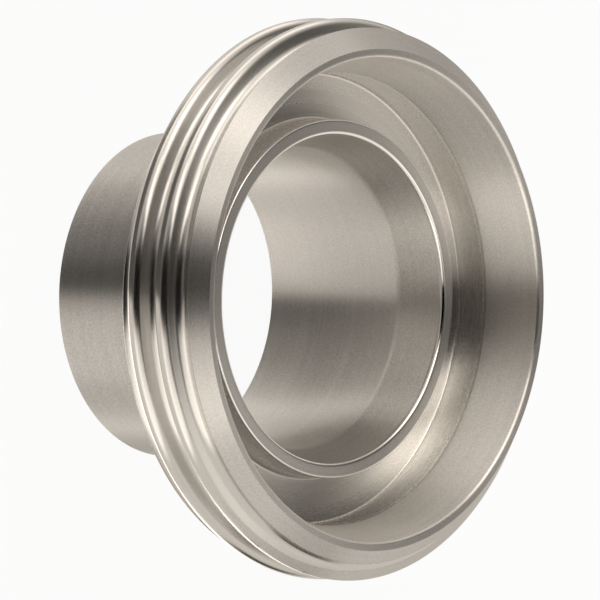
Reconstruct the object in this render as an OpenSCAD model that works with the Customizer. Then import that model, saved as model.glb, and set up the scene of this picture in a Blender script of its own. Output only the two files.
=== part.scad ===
// Male weld fitting for a DN 40 dairy and beverage union, turned in one piece from stainless bar.
// It stands on its weld end, with its axis on Z and its mouth upwards.

/* [Head] */
// Length of the whole fitting
length = 33; // [31:0.5:36]
// Length of the threaded head, from the front face to the back face
head_l = 13; // [12.5:0.5:14]
// Depth of the chamfer in front of the thread, the same along the axis as across it
front_chamfer = 3.6; // [3:0.1:3.8]
// Depth of the chamfer behind the thread, the same along the axis as across it
back_chamfer = 3.1; // [2.5:0.1:4]
// Width of the flat front face, from the chamfer to the mouth
face_land = 0.9; // [0.6:0.1:1.5]

/* [Round thread] */
// Nominal outside diameter of the thread, from which all the diameters inside it follow
thread_d = 65; // [58:0.5:78]
// Distance from one crest to the next, a sixth of an inch
pitch = 4.2333; // [4:0.0001:4.5]
// Height taken off the rounded crests when the bar was turned to size
crest_flat = 0.035; // [0.03:0.005:0.06]
// Angle about the axis at which the groove's centre line meets the back face
thread_turn = 95; // [0:5:355]

/* [Seal seat] */
// Slope of the cone and of the bore's taper against the axis
seat_angle = 15; // [14:0.5:17]
// Distance that the cone opens by, from the groove's wall to the mouth, across the radius
seat_rise = 1.8; // [1.5:0.1:2]
// Width of the groove for the sealing ring
groove_w = 5.4; // [5:0.1:6]
// Depth of the groove's floor below the front face
groove_drop = 11; // [10:0.5:11.5]
// Wall of the lip around the bore
lip_wall = 1.8; // [1.5:0.1:2.2]
// Depth of the lip's end below the front face
lip_drop = 7; // [6:0.5:8]

/* [Weld end] */
// Distance that the bore widens by, from the tube end to the lip, across the radius
bore_rise = 1.45; // [0.5:0.05:1.5]
// Height at which the straight tube bore ends and the taper begins
tube_bore_l = 20; // [18:0.5:20]
// Wall of the tube end
tube_wall = 1.5; // [1.2:0.1:2.0]
// Fillet between the tube end and the back face of the head
neck_fillet = 3; // [1:0.5:4]

/* [Edges] */
// Rounding of the lip's two edges
lip_round = 0.25; // [0.1:0.05:0.4]
// Rounding of the mouth's edge
mouth_round = 0.35; // [0.1:0.05:0.5]
// Radius left by the tool in the groove's corners
corner_r = 0.3; // [0.1:0.1:0.6]

/* [Hidden] */
$fn = 180;

steel = [0.70, 0.69, 0.67];

face_r = thread_d / 2 - front_chamfer;
blank_r = thread_d / 2 - crest_flat;
mouth_r = face_r - face_land;
groove_r = mouth_r - seat_rise;
lip_out_r = groove_r - groove_w;
lip_in_r = lip_out_r - lip_wall;
bore_r = lip_in_r - bore_rise;
tube_r = bore_r + tube_wall;

back_z = length - head_l;
lip_z = length - lip_drop;
floor_z = length - groove_drop;
taper_z = tube_bore_l + bore_rise / tan(seat_angle);
cone_z = length - seat_rise / tan(seat_angle);
mouth_centre_r = mouth_r + mouth_round * (1 - sin(seat_angle)) / cos(seat_angle);

// Round thread: crest and root are arcs of one radius, joined by flanks 15 degrees off square.
flank = 15;
arc_r = 0.238507 * pitch;
root_centre_r = thread_d / 2 - pitch / 2 + arc_r;
crest_centre_r = thread_d / 2 - arc_r;
// The cutter stops short of each crest's top, so that its turns never touch.
crest_gap = 10;
crest_steps = 3;
root_steps = 6;
turn_steps = 72;
cutter_top_r = thread_d / 2 + 1;
// The cutter runs out past both chamfers, where the body is thinner than the thread's root.
cutter_from = -0.25;
cutter_turns = (head_l + pitch / 2) / pitch - cutter_from;

// Points along an arc about a centre, from one angle to another.
function arc(centre, r, from, to, steps = 6) =
    [for (i = [0:steps]) let (a = from + (to - from) * i / steps) centre + r * [cos(a), sin(a)]];

// Half section of the turned body, as radius and height.
body_outline = concat(
    [[bore_r, 0], [bore_r, tube_bore_l], [lip_in_r, taper_z]],
    arc([lip_in_r + lip_round, lip_z - lip_round], lip_round, 180, 90),
    arc([lip_out_r - lip_round, lip_z - lip_round], lip_round, 90, 0),
    arc([lip_out_r + corner_r, floor_z + corner_r], corner_r, 180, 270),
    arc([groove_r - corner_r, floor_z + corner_r], corner_r, 270, 360),
    [[groove_r, cone_z]],
    arc([mouth_centre_r, length - mouth_round], mouth_round, 180 - seat_angle, 90),
    [[face_r, length], [blank_r, length - (blank_r - face_r)]],
    [[blank_r, back_z + back_chamfer], [blank_r - back_chamfer, back_z]],
    arc([tube_r + neck_fillet, back_z - neck_fillet], neck_fillet, 90, 180),
    [[tube_r, 0]]
);

// Section of one groove of the thread, as radius and height about the groove's centre line.
groove_outline = concat(
    [[cutter_top_r, arc_r * sin(crest_gap) - pitch / 2]],
    arc([crest_centre_r, -pitch / 2], arc_r, crest_gap, 90 - flank, crest_steps),
    arc([root_centre_r, 0], arc_r, 270 - flank, 90 + flank, root_steps),
    arc([crest_centre_r, pitch / 2], arc_r, flank - 90, -crest_gap, crest_steps),
    [[cutter_top_r, pitch / 2 - arc_r * sin(crest_gap)]]
);

// The groove's section swept along the helix.
module thread_cutter() {
    n = len(groove_outline);
    rings = ceil(cutter_turns * turn_steps);
    points = [for (i = [0:rings], p = groove_outline)
        let (turns = cutter_from + i / turn_steps, a = thread_turn + 360 * turns)
        [p.x * cos(a), p.x * sin(a), back_z + pitch * turns + p.y]];
    sides = [for (i = [0:rings - 1], j = [0:n - 1])
        let (a = i * n + j, b = i * n + (j + 1) % n)
        each [[a, b + n, b], [a, a + n, b + n]]];
    first_end = [for (j = [0:n - 1]) j];
    last_end = [for (j = [n - 1:-1:0]) rings * n + j];
    polyhedron(points, concat(sides, [first_end, last_end]));
}

module weld_fitting() {
    color(steel)
    difference() {
        rotate_extrude() polygon(body_outline);
        thread_cutter();
    }
}

weld_fitting();
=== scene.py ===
# A male weld fitting of a dairy pipe union, standing on its weld end on a plain floor.
import math

import bpy
import numpy as np
from mathutils import Matrix, Vector


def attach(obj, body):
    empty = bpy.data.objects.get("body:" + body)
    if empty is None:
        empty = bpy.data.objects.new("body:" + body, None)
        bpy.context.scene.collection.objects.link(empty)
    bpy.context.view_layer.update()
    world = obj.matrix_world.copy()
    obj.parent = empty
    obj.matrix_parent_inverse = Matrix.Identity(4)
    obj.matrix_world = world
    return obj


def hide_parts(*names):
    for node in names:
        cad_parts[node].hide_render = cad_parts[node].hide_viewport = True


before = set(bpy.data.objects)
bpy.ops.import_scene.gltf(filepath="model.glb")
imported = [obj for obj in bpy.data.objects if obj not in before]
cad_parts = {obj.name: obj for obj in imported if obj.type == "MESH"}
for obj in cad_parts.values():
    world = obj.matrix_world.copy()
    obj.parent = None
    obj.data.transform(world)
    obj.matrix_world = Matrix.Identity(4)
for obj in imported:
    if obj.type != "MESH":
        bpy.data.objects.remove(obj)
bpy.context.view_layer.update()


# The camera looks down into the mouth from 43 degrees above the floor, through a very long lens.
# It lies on its side, so that the fitting's axis runs across the picture from left to right.
camera_place = Vector((0.000235, -0.720140, 0.674831))
picture_right = Vector((-0.0274505, 0.6722090, 0.7398524))
picture_up = Vector((-0.9996232, -0.0184594, -0.0203169))
lens_mm = 502.78
sensor_mm = 36.0

camera = bpy.data.objects.new("camera", bpy.data.cameras.new("camera"))
camera.data.sensor_width = sensor_mm
camera.data.lens = lens_mm
turn = Matrix((picture_right, picture_up, picture_right.cross(picture_up))).transposed()
camera.matrix_world = Matrix.Translation(camera_place) @ turn.to_4x4()
bpy.context.scene.collection.objects.link(camera)
bpy.context.scene.camera = camera
bpy.context.scene.view_settings.view_transform = "Standard"


# The fitting is turned in one piece from stainless bar: a thin tube end to be welded to the pipe,
# and a threaded head with the seat for the seal. Its round thread is cut with a form tool,
# and all of its faces keep the fine rings that the tool left.
MM = 0.001

tube_r = 19.05
bore_r = 17.55
tube_bore_l = 20.0
neck_fillet = 3.0

length = 33.0
head_l = 13.0
face_r = 28.9
back_chamfer = 3.1

thread_r = 32.5
blank_r = 32.465
pitch = 4.2333
thread_turn = math.radians(95.0)

lip_in_r = 19.0
lip_out_r = 20.8
lip_z = length - 7.0
groove_r = 26.2
floor_z = length - 11.0
mouth_r = 28.0
seat_slope = math.tan(math.radians(15.0))

lip_round = 0.25
lip_round_in = 0.4
mouth_round = 0.35
corner_r = 0.3
tool_corner_r = 0.12
taper_blend = 1.5
edge_break = 0.08

columns = 432
angles = np.linspace(0.0, 2.0 * math.pi, columns, endpoint=False)


def corner(outline, point, radius, steps):
    """Adds a point to an outline. Its corner is rounded once the next point is known."""
    outline.append((np.array(point, float), radius, steps))


def rounded(corners):
    """Points along an outline with each of its corners rounded, and more points where a rounding ends."""
    points = [corners[0][0]]
    for (before, _, _), (here, radius, steps), (after, _, _) in zip(corners, corners[1:], corners[2:]):
        back = (before - here) / np.linalg.norm(before - here)
        on = (after - here) / np.linalg.norm(after - here)
        half = 0.5 * math.acos(float(np.clip(back @ on, -1.0, 1.0)))
        run = radius / math.tan(half)
        centre = here + (back + on) / np.linalg.norm(back + on) * radius / math.sin(half)
        first = here + back * run - centre
        last = here + on * run - centre
        sweep = math.pi - 2.0 * half
        points.append(here + back * (run + 0.25 * radius))
        for step in range(steps + 1):
            share = step / steps
            spread = first * math.sin((1.0 - share) * sweep) + last * math.sin(share * sweep)
            points.append(centre + spread / math.sin(sweep))
        points.append(here + on * (run + 0.25 * radius))
    points.append(corners[-1][0])
    return points


# The lathe's outline, as radius and height, from the front chamfer round through the bore to the back.
back_z = length - head_l
taper_z = tube_bore_l + (lip_in_r - bore_r) / seat_slope
cone_z = length - (mouth_r - groove_r) / seat_slope
strip_top = length - 0.5 * edge_break
strip_low = back_z + 0.5 * edge_break
back_edge_r = blank_r - back_chamfer

corners = []
corner(corners, (face_r + length - strip_top, strip_top), 0.0, 0)
corner(corners, (face_r, length), edge_break / 4, 3)
corner(corners, (mouth_r, length), mouth_round, 6)
corner(corners, (groove_r, cone_z), 0.6, 3)
corner(corners, (groove_r, floor_z), corner_r, 6)
corner(corners, (lip_out_r, floor_z), corner_r, 6)
corner(corners, (lip_out_r, lip_z), lip_round, 6)
corner(corners, (lip_in_r, lip_z), lip_round_in, 6)
corner(corners, (lip_in_r, taper_z), tool_corner_r, 3)
corner(corners, (bore_r, tube_bore_l), taper_blend, 4)
corner(corners, (bore_r, 0.0), edge_break, 3)
corner(corners, (tube_r, 0.0), edge_break, 3)
corner(corners, (tube_r, back_z), neck_fillet, 8)
corner(corners, (back_edge_r, back_z), edge_break / 4, 3)
corner(corners, (back_edge_r + strip_low - back_z, strip_low), 0.0, 0)
lathe = rounded(corners)

# The round thread: crests and roots are arcs of one radius, joined by flanks 15 degrees off square.
arc_r = 0.238507 * pitch
flank = math.radians(15.0)
flat_turn = math.acos(1.0 - (thread_r - blank_r) / arc_r)
crest_turns = np.linspace(flat_turn, 0.5 * math.pi - flank, 8)
root_turns = np.linspace(0.5 * math.pi - flank, 0.0, 10)
half_groove = [(-0.5 * pitch, blank_r)]
half_groove += [(arc_r * math.sin(a) - 0.5 * pitch, thread_r - arc_r + arc_r * math.cos(a)) for a in crest_turns]
half_groove += [(-arc_r * math.sin(a), thread_r - 0.5 * pitch + arc_r - arc_r * math.cos(a)) for a in root_turns]
groove = np.array(half_groove + [(-o, r) for o, r in half_groove[-2:0:-1]])
rows_per_pitch = len(groove)
turns_low = -2
turns_high = 5
offsets = np.concatenate([groove[:, 0] + pitch * t for t in range(turns_low, turns_high)])
thread_radii = np.tile(groove[:, 1], turns_high - turns_low)


def chamfered(z):
    """The radius that the two chamfers leave at a height."""
    return np.minimum(face_r + length - z, back_edge_r + z - back_z)


def thread_column(angle):
    """Heights and radii of the head's outside along one line from the back to the front."""
    turn = ((angle - thread_turn) / (2.0 * math.pi)) % 1.0
    z = back_z + pitch * turn + offsets
    r = thread_radii.copy()
    gap = r - chamfered(z)
    for k in np.nonzero(np.sign(gap[:-1]) != np.sign(gap[1:]))[0]:
        share = gap[k] / (gap[k] - gap[k + 1])
        near = k if share < 0.5 else k + 1
        z_cross = z[k] + share * (z[k + 1] - z[k])
        r[near] = r[k] + share * (r[k + 1] - r[k])
        z[near] = z_cross
    return z, np.minimum(r, chamfered(z))


mesh_points = []
for r, z in lathe:
    mesh_points.append(np.stack([r * np.cos(angles), r * np.sin(angles), np.full(columns, z)], axis=1))
ring_count = len(lathe)
mesh_points = list(np.concatenate(mesh_points))
faces = []
for ring in range(ring_count - 1):
    for c in range(columns):
        n = (c + 1) % columns
        a = ring * columns
        b = a + columns
        faces.append((a + n, b + n, b + c, a + c))

top_ring = 0
low_ring = (ring_count - 1) * columns
row_ids = np.zeros((columns, len(offsets)), int)
for c, angle in enumerate(angles):
    heights, radii = thread_column(angle)
    for k, (z, r) in enumerate(zip(heights, radii)):
        if z > strip_top - 0.02:
            row_ids[c, k] = top_ring + c
        elif z < strip_low + 0.02:
            row_ids[c, k] = low_ring + c
        else:
            row_ids[c, k] = len(mesh_points)
            mesh_points.append((r * math.cos(angle), r * math.sin(angle), z))
first_column = int(round(thread_turn / (2.0 * math.pi) * columns)) % columns
for c in range(columns):
    n = (c + 1) % columns
    shift = rows_per_pitch if n == first_column else 0
    for k in range(len(offsets) - 1 - shift):
        quad = [row_ids[c, k], row_ids[c, k + 1], row_ids[n, k + 1 + shift], row_ids[n, k + shift]]
        kept = [v for i, v in enumerate(quad) if v != quad[i - 1]]
        if len(set(kept)) > 2:
            faces.append(tuple(int(v) for v in kept[::-1]))

mesh = bpy.data.meshes.new("weld_fitting_turned")
mesh.from_pydata([tuple(MM * float(v) for v in p) for p in mesh_points], [], faces)
mesh.validate()
mesh.shade_smooth()
mesh.set_sharp_from_angle(angle=math.radians(28.0))
fitting = bpy.data.objects.new("fitting", mesh)
bpy.context.scene.collection.objects.link(fitting)


class Wire:
    """One output of a shader node. Sums written with it add the Math nodes that work them out."""

    def __init__(self, tree, socket):
        self.tree = tree
        self.socket = socket

    @staticmethod
    def node(tree, kind, settings=None, sockets=None, output=0):
        """Adds a node: its type, then its settings, then the values or links of its sockets."""
        made = tree.nodes.new(kind)
        for name, value in (settings or {}).items():
            setattr(made, name, value)
        for name, value in (sockets or {}).items():
            if isinstance(value, Wire):
                tree.links.new(value.socket, made.inputs[name])
            else:
                made.inputs[name].default_value = value
        return Wire(tree, made.outputs[output]) if len(made.outputs) else None

    def math(self, operation, *terms):
        return Wire.node(self.tree, "ShaderNodeMath", {"operation": operation}, dict(enumerate(terms)))

    def __add__(self, other):
        return self.math("ADD", self, other)

    def __sub__(self, other):
        return self.math("SUBTRACT", self, other)

    def __rsub__(self, other):
        return self.math("SUBTRACT", other, self)

    def __mul__(self, other):
        return self.math("MULTIPLY", self, other)

    __radd__ = __add__
    __rmul__ = __mul__


def ramp(value, low, high):
    """0 below low, 1 above high, and smooth between them."""
    return Wire.node(value.tree, "ShaderNodeMapRange", {"interpolation_type": "SMOOTHSTEP"},
                     {0: value, 1: low, 2: high})


def near(value, place, reach):
    """1 where a value is within reach of a place, and 0 a little further off."""
    return 1.0 - ramp(value.math("ABSOLUTE", value - place), reach, reach + 0.1)


steel = bpy.data.materials.new("turned_stainless")
steel.use_nodes = True
tree = steel.node_tree
tree.nodes.clear()
place = Wire.node(tree, "ShaderNodeTexCoord", output=3)
height = Wire.node(tree, "ShaderNodeSeparateXYZ", sockets={0: place}, output=2) * 1000.0
spread = Wire.node(tree, "ShaderNodeVectorMath", {"operation": "MULTIPLY"}, {0: place, 1: (1.0, 1.0, 0.0)})
radius = Wire.node(tree, "ShaderNodeVectorMath", {"operation": "LENGTH"}, {0: spread}, output=1) * 1000.0
section = Wire.node(tree, "ShaderNodeCombineXYZ", sockets={0: radius, 1: height})
fine_rings = Wire.node(tree, "ShaderNodeTexNoise", sockets={"Vector": section, "Scale": 9.0, "Detail": 2.0})
broad_rings = Wire.node(tree, "ShaderNodeTexNoise", sockets={"Vector": section, "Scale": 1.4, "Detail": 3.0})
grain = Wire.node(tree, "ShaderNodeTexNoise", sockets={"Vector": place, "Scale": 5000.0, "Detail": 2.0})

thread = ramp(radius, 28.9, 29.1) * ramp(face_r + length - radius - height, 0.02, 0.08)
# Where the radius is under 28.3 mm, the colour is lightened below as painted light.
inside = 1.0 - ramp(radius, 28.3, 28.4)
# This mask darkens the tube's outside in the colour below, as painted shade.
tube_painted_shade = ramp(radius, 18.2, 18.4) * (1.0 - ramp(height, 17.0, 19.0))
in_groove = ramp(radius, 19.0, 19.1) * (1.0 - ramp(radius, 26.2, 26.3)) * ramp(height, 21.5, 21.9)
# The taper's roughness is lowered, and its colour is darkened below as painted shade.
in_taper = (1.0 - ramp(radius, 19.1, 19.2)) * ramp(height, 20.3, 20.6)
# The lip's and mouth's rounded edges get a lower roughness, and painted highlight lines in the colour below.
lip_edges = near(height, lip_z, 0.27) * (near(radius, lip_in_r, 0.40) + near(radius, lip_out_r, 0.25))
mouth_edge = near(height, length, 0.25) * near(radius, mouth_r, 0.1)
edges = lip_edges + 0.7 * mouth_edge
# The groove's floor corners get painted highlight lines in the colour below.
groove_corner_highlight = near(height, floor_z, 0.25) * (near(radius, lip_out_r, 0.25) + near(radius, groove_r, 0.25))
grain = (grain - 0.5) * (1.0 - 0.75 * in_groove - 0.75 * thread)

# The finish of each face, and the painted light and painted shade in its colour, were set so that it comes out about
# as bright as in the photo.
rough = 0.40 - 0.18 * thread - 0.14 * in_groove - 0.08 * in_taper - 0.10 * edges
rough = rough + 0.10 * (broad_rings - 0.5) + 0.15 * grain
# Painted light and shade: the colour is lighter where the radius is under 28.3 mm, darker on the tube's outside and
# the taper, and has painted highlight lines on the lip's and mouth's rounded edges and the groove's floor corners. The
# rings and grain vary the tone at random.
tone = 1.0 + 0.12 * inside - 0.32 * tube_painted_shade - 0.17 * in_taper + 0.30 * edges + 0.20 * groove_corner_highlight
# Painted light: the lip's flat top is lightened.
tone = tone + 0.18 * near(height, lip_z, 0.1) * in_groove
tone = tone + 0.20 * (broad_rings - 0.5) + 0.60 * grain
colour = Wire.node(tree, "ShaderNodeVectorMath", {"operation": "SCALE"},
                   {0: (0.655, 0.640, 0.615), "Scale": tone})
bump = Wire.node(tree, "ShaderNodeBump", sockets={"Strength": 0.35, "Distance": 0.00001, "Height": fine_rings})
surface = Wire.node(tree, "ShaderNodeBsdfPrincipled", sockets={
    "Base Color": colour, "Metallic": 1.0, "Roughness": rough, "Normal": bump,
    "Anisotropic": 0.9, "Anisotropic Rotation": 0.25})
Wire.node(tree, "ShaderNodeOutputMaterial", sockets={"Surface": surface})
fitting.data.materials.append(steel)

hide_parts("weld_fitting")
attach(fitting, "root")


# The floor is a plain white sheet. The camera sees it as white, with the fitting's soft shadow.
floor_size = 1.5
floor_mesh = bpy.data.meshes.new("floor")
floor_mesh.from_pydata([(-floor_size, -floor_size, 0.0), (floor_size, -floor_size, 0.0),
                        (floor_size, floor_size, 0.0), (-floor_size, floor_size, 0.0)], [], [(0, 1, 2, 3)])
floor = bpy.data.objects.new("floor", floor_mesh)
bpy.context.scene.collection.objects.link(floor)
paper = bpy.data.materials.new("white_paper")
paper.use_nodes = True
tree = paper.node_tree
tree.nodes.clear()
shaded = Wire.node(tree, "ShaderNodeBsdfPrincipled", sockets={"Base Color": (0.95, 0.95, 0.95, 1.0), "Roughness": 0.9})
white = Wire.node(tree, "ShaderNodeEmission", sockets={"Color": (1.0, 1.0, 1.0, 1.0), "Strength": 1.0})
seen = Wire.node(tree, "ShaderNodeLightPath")
floor_mix = Wire.node(tree, "ShaderNodeMixShader", sockets={0: 0.93 * seen, 1: shaded, 2: white})
Wire.node(tree, "ShaderNodeOutputMaterial", sockets={"Surface": floor_mix})
floor.data.materials.append(paper)

# The studio is a tent of soft, warm light on all sides, with brighter and darker parts.
# A program fitted their numbers to the photo's brightness, and they were then rounded. Only the slot,
# the high sheet, and the height and half height of the seam beside the second lamp were set one by one, not fitted.
# Each entry: where it is, its half width, its height, its half height, its soft edge, in degrees, and its light.
tent_colour = (1.0, 0.935, 0.86)
tent_light = 0.83
tent_parts = [
    ("table's dark edge below the camera", 231.0, 41.0, -63.0, 46.0, 3.0, -0.73),
    ("gap for the camera", 272.0, 30.0, 56.0, 43.0, 80.0, -1.43),
    ("slot that the camera looks through", 264.0, 12.0, 0.0, 22.0, 6.0, -0.40),
    ("dark roof", 156.0, 90.0, 86.0, 17.0, 18.0, -0.67),
    ("dark roof by the second lamp", 320.0, 47.0, 81.0, 13.0, 14.0, -0.83),
    ("dark back of the tent", 116.0, 37.0, 47.0, 26.0, 37.0, -0.75),
    ("first lamp", 187.0, 16.0, 43.0, 15.0, 28.0, 2.17),
    ("first lamp's narrow sheet", 224.0, 11.0, 48.0, 20.0, 4.0, 1.58),
    ("glow under the first lamp", 180.0, 40.0, -6.0, 13.0, 13.0, 0.89),
    ("second lamp", 305.0, 23.0, 21.0, 40.0, 11.0, 0.98),
    ("seam beside the second lamp", 26.0, 13.0, -15.0, 17.0, 12.0, -0.84),
    ("high sheet at the back", 52.0, 16.0, 62.0, 12.0, 14.0, 0.40),
    ("bright table behind", 52.0, 33.0, -70.0, 26.0, 11.0, 2.24),
    ("seam at the back", 107.0, 17.0, -20.0, 10.0, 21.0, -0.70),
]
world = bpy.data.worlds.new("studio")
bpy.context.scene.world = world
world.use_nodes = True
tree = world.node_tree
tree.nodes.clear()
way = Wire.node(tree, "ShaderNodeTexCoord")
east = Wire.node(tree, "ShaderNodeSeparateXYZ", sockets={0: way}, output=0)
north = Wire.node(tree, "ShaderNodeSeparateXYZ", sockets={0: way}, output=1)
rise = Wire.node(tree, "ShaderNodeSeparateXYZ", sockets={0: way}, output=2)
bearing = north.math("ARCTAN2", north, east) * math.degrees(1.0)
lift = rise.math("ARCSINE", rise) * math.degrees(1.0)
light = tent_light
for _, at, half_width, up, half_height, soft, change in tent_parts:
    aside = bearing.math("ABSOLUTE", bearing.math("WRAP", bearing - at, 180.0, -180.0))
    above = lift.math("ABSOLUTE", lift - up)
    inside = ((1.0 - ramp(aside, half_width - 0.5 * soft, half_width + 0.5 * soft))
              * (1.0 - ramp(above, half_height - 0.5 * soft, half_height + 0.5 * soft)))
    light = light + change * inside
seen = Wire.node(tree, "ShaderNodeLightPath")
light = light.math("MAXIMUM", light, 0.0)
tent = Wire.node(tree, "ShaderNodeVectorMath", {"operation": "SCALE"}, {0: tent_colour, "Scale": light})
around = Wire.node(tree, "ShaderNodeMix", {"data_type": "RGBA"}, {0: seen, 6: tent, 7: (1.0, 1.0, 1.0, 1.0)},
                   output=2)
sky = Wire.node(tree, "ShaderNodeBackground", sockets={"Color": around, "Strength": 1.0})
Wire.node(tree, "ShaderNodeOutputWorld", sockets={"Surface": sky})
floor.visible_glossy = False
